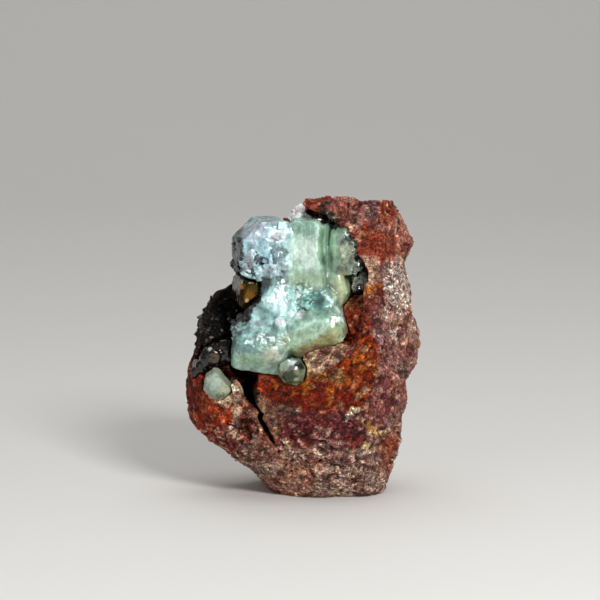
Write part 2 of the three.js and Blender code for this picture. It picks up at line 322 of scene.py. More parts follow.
def scatter(name, points, normals, share, count, sizes, seed):
    """Small prisms at odd angles, half sunk in a surface, as one mesh. Also gives the surface's point under
    each of their corners."""
    draw = np.random.default_rng(seed)
    sites = draw.choice(len(points), count, p=share / share.sum())
    turns = np.linalg.qr(draw.normal(size=(count, 3, 3)))[0]
    turns[:, :, 0] *= np.sign(np.linalg.det(turns))[:, None]
    size = draw.uniform(*sizes, (count, 1, 1)) * draw.uniform(*BLOCK_SIDES, (count, 1, 3))
    middles = points[sites] + BLOCK_RISE * size[:, 0, :1] * normals[sites]
    corners = (BLOCK * size) @ turns + middles[:, None]
    faces = BLOCK_FACES + CORNERS * np.arange(count)[:, None, None]
    mesh = bpy.data.meshes.new(name)
    mesh.from_pydata((corners.reshape(-1, 3) * MM).tolist(), [], faces.reshape(-1, 4).tolist())
    piece = bpy.data.objects.new(name, mesh)
    bpy.context.scene.collection.objects.link(piece)
    return piece, np.repeat(sites, CORNERS)


# Materials

class Nodes:
    """A new material and short ways to add and join its nodes."""

    def __init__(self, name):
        self.material = bpy.data.materials.new(name)
        self.material.use_nodes = True
        self.tree = self.material.node_tree
        self.shader = self.tree.nodes["Principled BSDF"]
        self.output = self.tree.nodes["Material Output"]
        coordinates = self.tree.nodes.new("ShaderNodeTexCoord")
        self.place = coordinates.outputs["Object"]

    def join(self, start, end):
        self.tree.links.new(start, end)

    def attribute(self, name, output="Color"):
        node = self.tree.nodes.new("ShaderNodeAttribute")
        node.attribute_name = name
        return node.outputs[output]

    def noise(self, size, detail=3.0, roughness=0.6, place=None):
        """Noise with forms of about a size in mm."""
        node = self.tree.nodes.new("ShaderNodeTexNoise")
        node.inputs["Scale"].default_value = 1 / (size * MM)
        node.inputs["Detail"].default_value = detail
        node.inputs["Roughness"].default_value = roughness
        self.join(place or self.place, node.inputs["Vector"])
        return node.outputs["Fac"]

    def cells(self, size, output="Distance", feature="F1", place=None):
        """Uneven cells of about a size in mm."""
        node = self.tree.nodes.new("ShaderNodeTexVoronoi")
        node.feature = feature
        node.inputs["Scale"].default_value = 1 / (size * MM)
        self.join(place or self.place, node.inputs["Vector"])
        return node.outputs[output]

    def squeezed(self, scale):
        """The place with its axes scaled, to stretch noise into lines."""
        node = self.tree.nodes.new("ShaderNodeVectorMath")
        node.operation = "MULTIPLY"
        node.inputs[1].default_value = scale
        self.join(self.place, node.inputs[0])
        return node.outputs["Vector"]

    def bedded(self, stretch):
        """The place turned to the rock's bedding and drawn out along it."""
        node = self.tree.nodes.new("ShaderNodeMapping")
        node.vector_type = "TEXTURE"
        node.inputs["Rotation"].default_value = (0, BED_TILT, 0)
        node.inputs["Scale"].default_value = (stretch, 1, 1)
        self.join(self.place, node.inputs["Vector"])
        return node.outputs["Vector"]

    def shifted(self, place, size, amount):
        """A place, moved by noise, to make the borders of cells uneven."""
        stir = self.tree.nodes.new("ShaderNodeTexNoise")
        stir.inputs["Scale"].default_value = 1 / (size * MM)
        self.join(place, stir.inputs["Vector"])
        node = self.tree.nodes.new("ShaderNodeVectorMath")
        node.operation = "MULTIPLY_ADD"
        node.inputs[1].default_value = (amount * MM,) * 3
        self.join(stir.outputs["Color"], node.inputs[0])
        self.join(place, node.inputs[2])
        return node.outputs["Vector"]

    def spot(self, at, reach):
        """1 at a place in mm and 0 beyond a reach, with an uneven edge."""
        node = self.tree.nodes.new("ShaderNodeVectorMath")
        node.operation = "DISTANCE"
        node.inputs[1].default_value = Vector(at) * MM
        self.join(self.place, node.inputs[0])
        reach *= MM
        uneven = self.range(self.noise(0.5, 3), 0.3, 0.7, -0.35 * reach, 0.35 * reach)
        distance = self.math("ADD", node.outputs["Value"], uneven)
        return self.range(distance, 0.7 * reach, 1.2 * reach, 1.0, 0.0)

    def range(self, value, low, high, to_low, to_high):
        """A soft step: to_low up to low and to_high from high on."""
        node = self.tree.nodes.new("ShaderNodeMapRange")
        node.interpolation_type = "SMOOTHSTEP"
        limits = {"From Min": low, "From Max": high, "To Min": to_low, "To Max": to_high}
        for socket, number in limits.items():
            node.inputs[socket].default_value = number
        self.join(value, node.inputs["Value"])
        return node.outputs["Result"]

    def math(self, operation, a, b):
        node = self.tree.nodes.new("ShaderNodeMath")
        node.operation = operation
        for socket, value in zip(node.inputs, (a, b)):
            if isinstance(value, (int, float)):
                socket.default_value = value
            else:
                self.join(value, socket)
        return node.outputs["Value"]

    def blend(self, factor, a, b, mode="MIX"):
        """Two colours mixed, each an output or sRGB values from 0 to 255."""
        node = self.tree.nodes.new("ShaderNodeMix")
        node.data_type = "RGBA"
        node.blend_type = mode
        for socket, value in ((node.inputs[0], factor), (node.inputs[6], a), (node.inputs[7], b)):
            if isinstance(value, (int, float)):
                socket.default_value = value
            elif isinstance(value, tuple):
                socket.default_value = (*linear(value), 1)
            else:
                self.join(value, socket)
        return node.outputs[2]

    def bump(self, height, distance, strength=1.0, under=None):
        """A normal for a rough surface; distance is in mm, and under is a normal to start from."""
        node = self.tree.nodes.new("ShaderNodeBump")
        node.inputs["Strength"].default_value = strength
        node.inputs["Distance"].default_value = distance * MM
        self.join(height, node.inputs["Height"])
        if under is not None:
            self.join(under, node.inputs["Normal"])
        return node.outputs["Normal"]

    def set(self, **values):
        """Sets or joins the shader's inputs. In their names, _ stands for a space."""
        for name, value in values.items():
            socket = self.shader.inputs[name.replace("_", " ")]
            if isinstance(value, bpy.types.NodeSocket):
                self.join(value, socket)
            else:
                socket.default_value = value


PALE_FLECK_AND_GLINT = (222, 204, 188)
DARK_CRACK = (30, 12, 9)
PAINTED_SPARKLE = (250, 254, 252)


def gossan_material():
    """Rock with fine grain and, as far as its grit goes, flakes with dark gaps between them, and pale spots
    that are its own grains and also painted glints.
    """
    m = Nodes("gossan")
    grit = m.attribute("grit", "Fac")
    crumbs = m.noise(0.28, 5, 0.75)
    fine = m.range(crumbs, 0.3, 0.7, 0.32, 1.72)
    coarse = m.range(m.noise(1.1, 4, 0.65), 0.3, 0.7, 0.7, 1.3)
    sand = m.range(m.cells(0.16, "Color"), 0.2, 0.8, 0.75, 1.25)
    shade = m.math("MULTIPLY", m.math("MULTIPLY", fine, coarse), sand)
    colour = m.blend(1.0, m.attribute("tint"), shade, "MULTIPLY")

    stirred = m.shifted(m.bedded(2.2), 0.4, 0.4)
    flake = m.range(m.cells(0.34, "Color", place=stirred), 0.2, 0.8, 0.4, 1.7)
    gap = m.range(m.cells(0.34, "Distance", "DISTANCE_TO_EDGE", stirred), 0.02, 0.14, 0.35, 1.0)
    colour = m.blend(grit, colour, m.blend(1.0, colour, m.math("MULTIPLY", flake, gap), "MULTIPLY"))

    # Pale spots: the rock's own grains, painted pale also as glints
    fleck_and_glint = m.range(m.cells(0.45), 0.1, 0.2, 1.0, 0.0)
    fleck_and_glint = m.math("MULTIPLY", fleck_and_glint, m.range(m.noise(0.9, 2), 0.58, 0.66, 0.0, 0.7))
    colour = m.blend(m.math("MULTIPLY", fleck_and_glint, m.range(grit, 0, 1, 0.6, 1.0)), colour, PALE_FLECK_AND_GLINT)
    crack = m.math("ABSOLUTE", m.math("SUBTRACT", m.noise(1.3, 4, 0.6), 0.47), 0)
    colour = m.blend(m.range(crack, 0.002, 0.014, 0.8, 0.0), colour, DARK_CRACK)

    glint = m.range(m.noise(0.35, 2), 0.56, 0.68, 0.75, 0.25)
    rough = m.math("MINIMUM", glint, m.range(fleck_and_glint, 0, 1, 0.75, 0.25))
    m.set(Base_Color=colour, Roughness=rough, Normal=m.bump(crumbs, 0.2), Specular_IOR_Level=0.1)
    return m.material


def adamite_material():
    """Cloudy crystal: fine upright growth lines where it is smooth, and white dots painted as sparkle where
    it is frosted.
    """
    m = Nodes("adamite")
    frost = m.attribute("frost", "Fac")
    cloud = m.range(m.noise(0.45, 5, 0.75), 0.3, 0.7, 0.78, 1.16)
    colour = m.blend(1.0, m.attribute("tint"), cloud, "MULTIPLY")
    lines = m.noise(0.2, 3, place=m.squeezed((1, 1, 0.08)))
    lined = m.blend(1.0, colour, m.range(lines, 0.35, 0.65, 0.89, 1.08), "MULTIPLY")
    colour = m.blend(m.range(frost, 0.2, 0.6, 1.0, 0.0), colour, lined)

    # White dots on frosted faces: painted sparkle
    painted_sparkle = m.range(m.cells(0.4), 0.12, 0.22, 1.0, 0.0)
    painted_sparkle = m.math("MULTIPLY", painted_sparkle, m.range(frost, 0.3, 0.7, 0.0, 1.0))
    painted_sparkle = m.math("MULTIPLY", painted_sparkle, m.range(m.noise(0.8, 2), 0.5, 0.6, 0.0, 0.85))
    colour = m.blend(painted_sparkle, colour, PAINTED_SPARKLE)

    rough = m.range(frost, 0, 1, 0.18, 0.36)
    clear = m.range(m.attribute("milk", "Fac"), 0, 1, 0.92, 0.05)
    normal = m.bump(lines, 0.03, 0.3, under=m.bump(m.noise(0.2, 3), 0.05, 0.3))
    m.set(
        Base_Color=colour, Roughness=rough, Transmission_Weight=clear, Normal=normal, IOR=ADAMITE_IOR,
        Subsurface_Weight=0.55, Subsurface_Radius=(0.8, 1.0, 0.95), Subsurface_Scale=0.35 * MM,
    )
    return m.material


def clear_material(name, inside, density, clear, veil, spots=(), cloud=1.1, rough=0.06, shine=(1, 1, 1)):
    """A see-through crystal with an absorbing inside. Clouds make it less clear in places, within the range
    clear. veil colours what isn't clear, and spots are other colours in it, each with its middle and reach
    in mm."""
    m = Nodes(name)
    colour = veil
    for at, reach, other in spots:
        colour = m.blend(m.spot(at, reach), colour, other)
    share = m.range(m.noise(cloud, 4), 0.35, 0.65, *clear)
    normal = m.bump(m.noise(0.5, 3), 0.05, 0.25)
    m.set(
        Base_Color=colour if spots else (*linear(veil), 1), Roughness=rough, IOR=ADAMITE_IOR,
        Transmission_Weight=share, Normal=normal, Specular_IOR_Level=0.15, Specular_Tint=(*shine, 1),
    )
    absorb = m.tree.nodes.new("ShaderNodeVolumeAbsorption")
    absorb.inputs["Color"].default_value = (*linear(inside), 1)
    absorb.inputs["Density"].default_value = density
    m.join(absorb.outputs["Volume"], m.output.inputs["Volume"])
    return m.material


# Colours

def paint(tint, mask, colour):
    """Brings tint nearer to a colour, as far as mask says."""
    return tint + mask[:, None] * (np.array(colour, float) - tint)


def masks(points, ellipses, blur):
    """How far points lie inside each ellipse that is given in the picture's pixels."""
    px, py = pixels(points)
    for x, y, rx, ry, turn, *_ in ellipses:
        cos = math.cos(math.radians(turn))
        sin = math.sin(math.radians(turn))
        along = ((px - x) * cos + (py - y) * sin) / rx
        across = ((py - y) * cos - (px - x) * sin) / ry
        yield smooth(1 + blur, 1 - blur, np.hypot(along, across))


def paint_patches(tint, points, patches, front, blur):
    """Paints patches on what faces the camera."""
    for mask, (*_, colour, strength) in zip(masks(points, patches, blur), patches):
        tint = paint(tint, strength * front * mask, colour)
    return tint


def within(points, x, z):
    """1 past a place in x and a place in z, each given in mm by where it starts and where it is full."""
    return smooth(*x, points[:, 0]) * smooth(*z, points[:, 2])


def strongest(points, ellipses, blur=0.2):
    """How far points lie inside any of the ellipses."""
    return np.max(list(masks(points, ellipses, blur)), axis=0)


# The rock

def layer_depth(points):
    """How far out a point is from the vug: 1 is the vug's wall."""
    warped = points + 1.6 * np.column_stack([layers(points, 6.0, s, 3) for s in (11, 23, 37)])
    offset = warped - VUG_AT
    reach = np.where(offset[:, :1] > 0, VUG_RIGHT, VUG_LEFT)
    return np.linalg.norm(offset / reach, axis=1)


# How far out each colour of the rock is, from the vug's wall to the weathered outside
ROCK_LAYERS = (
    # On the vug's wall the colour is near black: dark rock that also stands in as painted shade in the vug
    (0.97, (50, 33, 24)),
    (1.01, (150, 120, 92)),
    (1.10, (146, 110, 80)),
    (1.14, (134, 54, 24)),
    (1.38, (126, 50, 27)),
    (1.46, (104, 44, 38)),
    (1.72, (102, 48, 43)),
    (1.86, (136, 98, 86)),
    (2.6, (146, 114, 100)),
)

# Patches of colour on the front: the middle and the reach in the picture's pixels, the turn in degrees
# (a positive turn lowers the right end), the colour and the strength
ROCK_PATCHES = (
    # the foot and the right side: grey tan, dull purple and the bare pale edge
    (325, 470, 72, 27, 0, (158, 128, 112), 0.9),
    (390, 365, 26, 50, 0, (142, 94, 88), 0.85),
    (338, 455, 13, 11, 0, (112, 74, 66), 0.7),
    (372, 463, 14, 9, -20, (132, 90, 82), 0.7),
    (391, 472, 10, 8, -30, (128, 70, 56), 0.8),
    (398, 300, 15, 42, -4, (196, 174, 162), 0.95),
    (405, 325, 8, 26, -8, (190, 164, 150), 0.9),
    # the top: pink, purple and a rust red band below them
    (350, 210, 40, 15, 0, (140, 86, 76), 0.9),
    (356, 222, 12, 12, 40, (152, 108, 96), 0.8),
    (372, 209, 9, 11, 0, (112, 80, 80), 0.8),
    (388, 212, 5, 10, 0, (136, 58, 34), 0.85),
    (314, 206, 10, 9, 0, (126, 62, 48), 0.85),
    (379, 246, 22, 15, 0, (140, 62, 42), 0.95),
    (365, 228, 5, 9, 20, (134, 46, 26), 0.85),
    (404, 236, 6, 20, 12, (160, 98, 80), 0.8),
    # beside the crystals: tan, ochre and a red block
    (370, 270, 13, 15, 0, (174, 142, 120), 0.85),
    (370, 291, 13, 6, -20, (158, 92, 38), 0.85),
    (372, 301, 9, 5, -10, (112, 52, 34), 0.85),
    (379, 314, 8, 12, 0, (132, 92, 88), 0.85),
    (379, 338, 8, 8, 0, (150, 116, 120), 0.7),
    (357, 322, 13, 18, 0, (132, 48, 26), 0.95),
    (356, 306, 8, 5, 0, (126, 90, 46), 0.85),
    # the purple and grey band above the foot
    (334, 426, 52, 19, 0, (90, 36, 38), 0.95),
    (302, 434, 11, 9, 20, (92, 34, 30), 0.8),
    (350, 441, 13, 7, 10, (98, 40, 34), 0.8),
    (382, 402, 14, 24, 0, (118, 58, 60), 0.8),
    (288, 410, 13, 9, 20, (86, 60, 58), 0.85),
    # the rust band under the crystals, with its ochre and tan crust
    (278, 388, 27, 12, 30, (126, 40, 16), 0.95),
    (318, 394, 32, 18, 8, (128, 38, 8), 0.95),
    (352, 385, 21, 26, 0, (132, 46, 8), 0.95),
    (367, 356, 10, 22, -10, (138, 54, 18), 0.9),
    (353, 370, 10, 9, 0, (140, 60, 8), 0.9),
    (308, 392, 5, 18, -15, (166, 96, 24), 0.85),
    (289, 388, 6, 2.5, 10, (180, 128, 48), 0.9),
    (319, 391, 7, 7, 0, (108, 22, 8), 0.9),
    (346, 394, 8, 7, 0, (138, 36, 10), 0.9),
    (329, 403, 13, 6, 10, (100, 24, 8), 0.9),
    (316, 377, 14, 6, -10, (160, 92, 30), 0.85),
    (320, 360, 28, 11, -24, (166, 144, 114), 0.95),
    (313, 363, 9, 7, 0, (192, 166, 130), 0.9),
    (337, 377, 9, 9, 40, (132, 102, 64), 0.9),
    (330, 352, 12, 7, -20, (128, 94, 74), 0.8),
    (282, 394, 11, 1.4, 20, (44, 14, 8), 0.85),
    # the left lobe: red, with a tan crust beside the crack and a pale edge below
    (208, 408, 26, 28, 0, (150, 52, 26), 0.97),
    (212, 413, 18, 15, 20, (190, 72, 30), 0.85),
    (190, 396, 7, 16, 0, (122, 46, 38), 0.8),
    (238, 389, 6, 13, 0, (220, 198, 168), 0.95),
    (226, 401, 14, 4, -5, (190, 160, 132), 0.95),
    (233, 417, 4, 14, 5, (194, 164, 138), 0.9),
    (236, 435, 4, 7, -20, (180, 148, 124), 0.9),
    (222, 440, 16, 9, 35, (112, 58, 44), 0.85),
    (249, 410, 9, 8, 20, (92, 64, 50), 0.9),
    (258, 432, 6, 12, -20, (140, 106, 92), 0.85),
    (252, 450, 14, 10, 30, (116, 82, 70), 0.8),
    (266, 412, 11, 22, -30, (122, 90, 70), 0.9),
    (240, 466, 30, 5, 40, (172, 138, 120), 0.8),
    (231, 446, 16, 7, 40, (100, 46, 36), 0.85),
    (229, 452, 6, 6, 0, (140, 44, 24), 0.9),
    # pale yellow crumbs
    (358, 397, 4, 4, 0, (222, 196, 130), 0.95),
    (365, 391, 2.5, 2.5, 0, (230, 214, 170), 0.95),
    (354, 412, 6, 5, 0, (194, 178, 146), 0.9),
    (348, 417, 3, 1.5, 30, (250, 244, 236), 0.95),
    (371, 434, 6, 4, 40, (204, 168, 96), 0.9),
    (381, 433, 5, 5, 0, (214, 186, 116), 0.9),
    (366, 446, 6, 3, 0, (192, 166, 112), 0.8),
    # brown and grey spots on the right
    (389, 450, 6, 20, 10, (136, 62, 42), 0.8),
    (405, 370, 5, 7, 0, (106, 92, 78), 0.8),
    # the black mineral above the crystals, the crack, painted near black as shade, and the dent beside it,
    # red with painted shade along its left edge
    (327, 219, 11, 8, 20, (26, 23, 22), 0.95),
    (324, 207, 5, 7, 0, (38, 30, 28), 0.8),
    (250, 390, 7, 18, -10, (24, 15, 12), 0.95),
    (246, 430, 7, 10, 0, (126, 42, 24), 0.9),
    (239, 430, 2, 9, 10, (36, 15, 12), 0.8),
)

# Stains all over: the strength, the noise at which a stain starts and is full, the noise's size in mm,
# seed and octaves, and the colour
ROCK_STAINS = (
    (0.35, (0.12, 0.4), (4.5, 71, 4), (134, 58, 34)),
    (0.2, (0.15, 0.42), (2.6, 83, 4), (160, 124, 106)),
    (0.55, (0.12, 0.4), (1.8, 97, 4), (70, 30, 27)),
    (0.5, (0.4, 0.5), (1.1, 103, 3), (196, 170, 132)),
)

# More colours, with places that start at the first x and z and are full at the second, in mm
OCHRE_BLOCK = (168, 94, 26)
OCHRE_AT = ((-5, -3), (23, 20))
RED_BLOCK = (104, 24, 10)
BLOCK_SEAM = (58, 18, 8)
PALE_DASH = (206, 184, 170)
DASHES_BELOW = (13, 9)
# The inside of the vug's left wall: dark rock and painted shade
LEFT_WALL_ROCK_AND_SHADE = (22, 16, 13)
LEFT_WALL_ROCK_AND_SHADE_AT = ((-6.5, -8.5), (16.5, 19.0))
TOP_RIM = (28, 25, 24)
TOP_RIM_AT = ((1.0, 3.0), (29, 31))
# The lip under the rock's top edge: a lighter red, painted light in its shadow
TOP_LIP_LIGHT = (132, 66, 50)
TOP_LIP_LIGHT_AT = ((3.0, 2.0), (36, 37))
# The outside of the vug's left wall: dark rock and painted shade
OUTER_WALL_ROCK_AND_SHADE = (40, 27, 22)
OUTER_WALL_ROCK_AND_SHADE_AT = ((-11.5, -13.0), (16.5, 18.0))

# Heights in mm at which the bedding's ridges start and are full
BEDS_BELOW = (13, 6)

# Heights in mm up to which the base stays as it is, and from which the surface is free to move
FREE_ABOVE = (0.05, 0.9)


def paint_blocks(tint, points):
    """Breaks what is rust red into ochre and dark red blocks with dark seams."""
    cell, border = mosaic(warp(points, 1.5, 0.5, 91, 3), 1.7, 93)
    rust = smooth(78, 98, tint[:, 0] - tint[:, 2])
    ochre = within(points, *OCHRE_AT)
    tint = paint(tint, 0.6 * rust * ochre * (cell > 0.76), OCHRE_BLOCK)
    tint = paint(tint, 0.6 * rust * (cell < 0.3), RED_BLOCK)
    return paint(tint, 0.55 * rust * smooth(0.12, 0.04, border), BLOCK_SEAM)


def paint_dashes(tint, points):
    """Short pale lines along the bedding, low on the rock."""
    x, y, z = points.T
    along = x * BED_COS - z * BED_SIN
    across = x * BED_SIN + z * BED_COS
    dashes = noise(np.column_stack((along / 1.5, y / 1.5, across / 0.34)), 1.0, 109)
    return paint(tint, 0.6 * smooth(0.3, 0.42, dashes) * smooth(*DASHES_BELOW, z), PALE_DASH)


def paint_vug(tint, points, depth, front):
    """The vug's left wall, inside and out, painted near black as dark rock and as painted shade, its black
    upper rim, and the red lip above that, painted lighter as painted light in the shadow under the rock's
    top edge.
    """
    tint = paint(tint, smooth(1.2, 1.02, depth) * within(points, *LEFT_WALL_ROCK_AND_SHADE_AT), LEFT_WALL_ROCK_AND_SHADE)
    tint = paint(tint, smooth(1.09, 1.03, depth) * within(points, *TOP_RIM_AT), TOP_RIM)
    top_lip_light = within(points, *TOP_LIP_LIGHT_AT) * smooth(1.3, 1.1, depth)
    tint = paint(tint, 0.85 * top_lip_light, TOP_LIP_LIGHT)
    return paint(tint, 0.85 * within(points, *OUTER_WALL_ROCK_AND_SHADE_AT) * front, OUTER_WALL_ROCK_AND_SHADE)


def rock_tint(points, normals, depth, hollow_shade):
    """The rock's colour, darker in hollows and lighter on bumps as painted shade and light, and how far it
    is broken into flakes: the redder it is, the less.
    """
    stops = np.array([s for s, _ in ROCK_LAYERS])
    colours = np.array([c for _, c in ROCK_LAYERS], float)
    tint = np.column_stack([np.interp(depth, stops, colours[:, k]) for k in range(3)])
    front = smooth(4.0, 0.0, points[:, 1]) * smooth(0.25, -0.1, normals[:, 1])
    tint = paint_patches(tint, warp(points, 2.6, 0.7, 61), ROCK_PATCHES, front, 0.12)
    for strength, step, grain, colour in ROCK_STAINS:
        tint = paint(tint, strength * smooth(*step, layers(points, *grain)), colour)
    tint = paint_blocks(tint, points)
    tint = paint_dashes(tint, points)
    tint = paint_vug(tint, points, depth, front)
    grit = 0.4 + 0.6 * smooth(62, 38, tint[:, 0] - tint[:, 2])
    # The colour is darker in hollows and lighter on bumps: painted shade and light
    return linear(np.clip(tint * np.clip(1 + hollow_shade, 0.2, 1.5)[:, None], 0, 255)), grit


def rock_height(points, depth):
    """How far the rock's surface moves out, in mm. It closes in on the crystals, and its base stays flat."""
    lumps = 0.25 * layers(points, 4.2, 3, 2) + 0.3 * facets(points, 3.4, 4) + 0.07 * facets(points, 1.5, 5)
    pits = -0.28 * smooth(0.36, 0.6, noise(points, 1.3, 9))
    pits -= 0.2 * smooth(0.34, 0.56, noise(points, 0.65, 13))
    seam = np.abs(layers(points, 5.0, 19, 3))
    seams = -0.5 * smooth(0.05, 0.0, seam) * smooth(-0.1, 0.25, noise(points, 7.0, 21))
    bed = points[:, 0] * BED_SIN + points[:, 2] * BED_COS + 0.5 * noise(points, 4.0, 15)
    beds = 0.14 * np.abs((bed / 0.9) % 2 - 1) * smooth(*BEDS_BELOW, points[:, 2])
    crumbs = 0.2 * layers(points, 0.9, 17, 2, 0.6) + 0.05 * facets(points, 0.7, 18)
    height = lumps + seams + beds + (0.5 + 0.5 * smooth(1.4, 1.9, depth)) * (pits + crumbs)
    gap = np.minimum(clearance(points), NEAR)
    height -= smooth(1.6, 0.4, gap) * np.maximum(height, 0)
    height += smooth(0.8, 0.4, gap) * (0.7 * gap - 0.03 - height)
    return smooth(*FREE_ABOVE, points[:, 2]) * height


def make_rock(adamite, druse):
    rock = voxel_copy("matrix", "rock", ROCK_VOXEL)
    mesh = rock.data
    points, normals = points_of(mesh)
    depth = layer_depth(points)
    moved = points + normals * rock_height(points, depth)[:, None]
    # How deep each point sits in a hollow or how far it stands on a bump, which darkens or lightens its
    # colour as painted shade and light
    hollow_shade = 2.4 * hollows(mesh, moved, normals, 3) + 0.5 * hollows(mesh, moved, normals, 14)
    move_points(mesh, moved)
    tint, grit = rock_tint(points, normals, depth, hollow_shade)
    store(mesh, "tint", tint)
    store(mesh, "grit", grit)
    shade_smooth(mesh)
    finish_piece(rock, gossan_material(), "gossan", "matrix")
    make_glints(moved, normals, depth, adamite)
    make_dark_druse(moved, normals, depth, druse)


def on_front(points):
    """1 on the front half of the rock above its base, and 0 behind."""
    return smooth(3.0, 0.0, points[:, 1]) * (points[:, 2] > 1)


# The glints: their colour, how bright they are, with the seed, and how frosted and milky
GLINT = np.array((200, 172, 160))
GLINT_SHADES = (0.3, 0.7)
GLINT_SEED = 8
GLINT_FROST = 0.1
GLINT_MILK = 0.7


def make_glints(points, normals, depth, adamite):
    """Pale glints in the rock, each of its own shade."""
    share = on_front(points) * smooth(1.05, 1.25, depth)
    share = share * (0.3 + smooth(0.0, 0.4, layers(points, 5.0, 121, 3)))
    glints, sites = scatter("rock_grains", points, normals, share, *ROCK_GRAINS)
    shades = np.random.default_rng(GLINT_SEED).uniform(*GLINT_SHADES, (ROCK_GRAINS[0], 1))
    tint = linear(np.repeat(shades, CORNERS, axis=0) * GLINT)
    store_adamite(glints.data, tint, np.full(len(sites), GLINT_FROST), np.full(len(sites), GLINT_MILK))
    finish_piece(glints, adamite, "gossan")


# Where black crystals edge the vug, in the picture's pixels: the middle, the reach and the turn in degrees
BLACK_EDGE = (
    (327, 219, 11, 6, 20),
    (324, 206, 4, 6, 0),
    (356, 250, 3, 16, -10),
    (359, 284, 4, 16, 0),
)

# Where dark crystals cover the vug's left wall, in mm
DARK_WALL_AT = ((-6.0, -8.0), (16.5, 18.5))
DARK_WALL_TOP = (26.5, 24.0)


def make_dark_druse(points, normals, depth, druse):
    """Small dark crystals on the vug's left wall and along its upper edge."""
    outward = normals[:, 1] < 0.3
    wall = within(points, *DARK_WALL_AT) * smooth(*DARK_WALL_TOP, points[:, 2])
    wall = wall * smooth(1.25, 1.0, depth) * outward
    edge = strongest(points, BLACK_EDGE) * on_front(points) * outward
    share = 0.7 * wall / wall.sum() + 0.3 * edge / edge.sum()
    piece, _ = scatter("dark_druse", points, normals, share, *DARK_DRUSE)
    finish_piece(piece, druse, "smoky_adamite")


# The crystals

# Where each crystal of the cluster is and how far it reaches, in mm, its colour, how frosted it is,
# how milky, how far its edges are rounded and how mottled it is
CRYSTAL_ZONES = (
    ((-5.6, -5.0, 34.2), (4.4, 8.0, 3.2), (156, 192, 200), 0.45, 0.9, 0.3, 0.35),
    ((-5.0, -7.0, 31.0), (3.6, 3.0, 2.0), (158, 182, 188), 0.85, 0.85, 0.7, 0.6),
    ((-4.6, -6.0, 27.8), (2.0, 4.0, 1.8), (104, 124, 124), 0.4, 0.5, 0.5, 0.4),
    ((0.6, -7.0, 33.0), (2.6, 5.0, 3.6), (196, 224, 208), 0.1, 0.9, 0.4, 0.12),
    ((0.8, -7.0, 28.8), (2.6, 5.0, 2.0), (160, 188, 162), 0.1, 0.85, 0.7, 0.12),
    ((3.8, -7.0, 32.0), (1.3, 5.0, 5.0), (138, 172, 146), 0.1, 0.75, 0.4, 0.15),
    ((6.4, -7.0, 33.0), (1.9, 5.0, 3.4), (132, 146, 126), 0.75, 0.7, 0.4, 0.7),
    ((5.4, -6.0, 28.2), (1.6, 5.0, 2.2), (172, 184, 146), 0.2, 0.8, 0.25, 0.2),
    ((-3.0, -8.0, 25.8), (3.4, 4.0, 2.8), (160, 200, 198), 0.36, 0.95, 1.0, 0.25),
    ((2.6, -8.6, 26.8), (1.9, 3.0, 1.5), (124, 168, 158), 0.35, 0.7, 0.15, 0.35),
    ((-6.0, -9.0, 22.6), (3.4, 3.0, 1.2), (126, 158, 154), 0.62, 0.8, 1.0, 0.5),
    ((2.2, -9.0, 23.8), (3.6, 3.0, 1.6), (172, 204, 184), 0.34, 0.9, 1.0, 0.25),
    ((-5.2, -9.0, 19.2), (4.0, 5.0, 2.2), (138, 168, 152), 0.45, 0.85, 0.9, 0.2),
    ((1.4, -9.0, 20.8), (3.6, 5.0, 1.3), (160, 176, 142), 0.3, 0.85, 0.9, 0.2),
    ((-0.1, -4.2, 37.2), (1.8, 3.0, 1.4), (250, 252, 250), 0.9, 1.0, 0.5, 0.35),
)

